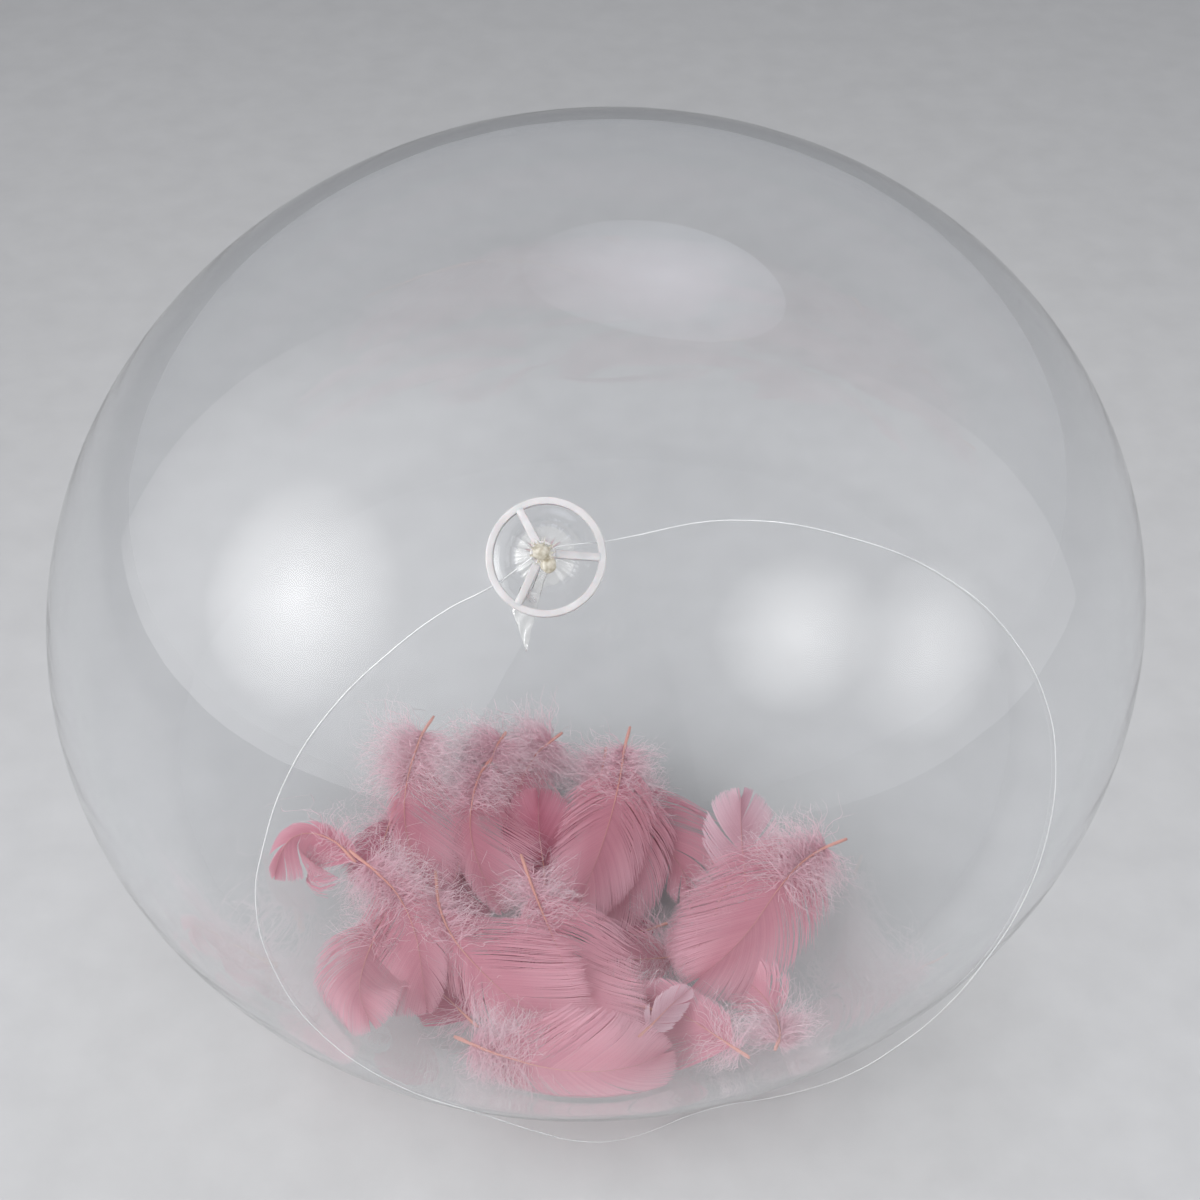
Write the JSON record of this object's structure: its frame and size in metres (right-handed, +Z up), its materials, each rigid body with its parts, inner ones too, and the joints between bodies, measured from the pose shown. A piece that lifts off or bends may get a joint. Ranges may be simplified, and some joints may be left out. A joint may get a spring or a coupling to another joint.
{
  "type": "clear bubble balloon",
  "caption": "Inflated clear film ball with a gathered, knotted neck in a white spoked ring, dyed feathers sealed inside and a thin hanging line looped over its front.",
  "frame": {"origin": "on the table, under the middle of the ball, in the small flat spot that the ball rests on", "axes": "+Z up; the neck and its ring point to -Y and up; +X along the widest way across the ball"},
  "size_m": [0.4513, 0.42, 0.419],
  "materials": {
    "clear_film": "glossy clear stretched plastic film",
    "ring_plastic": "satin moulded white plastic",
    "nylon": "clear nylon monofilament",
    "feather": "dusty pink dyed goose feather"
  },
  "bodies": {
    "root": {"balloon_film": "clear_film", "film_neck": "clear_film", "neck_ring": "ring_plastic", "nylon_line": "nylon", "line_knot": "nylon"}
  },
  "joints": []
}
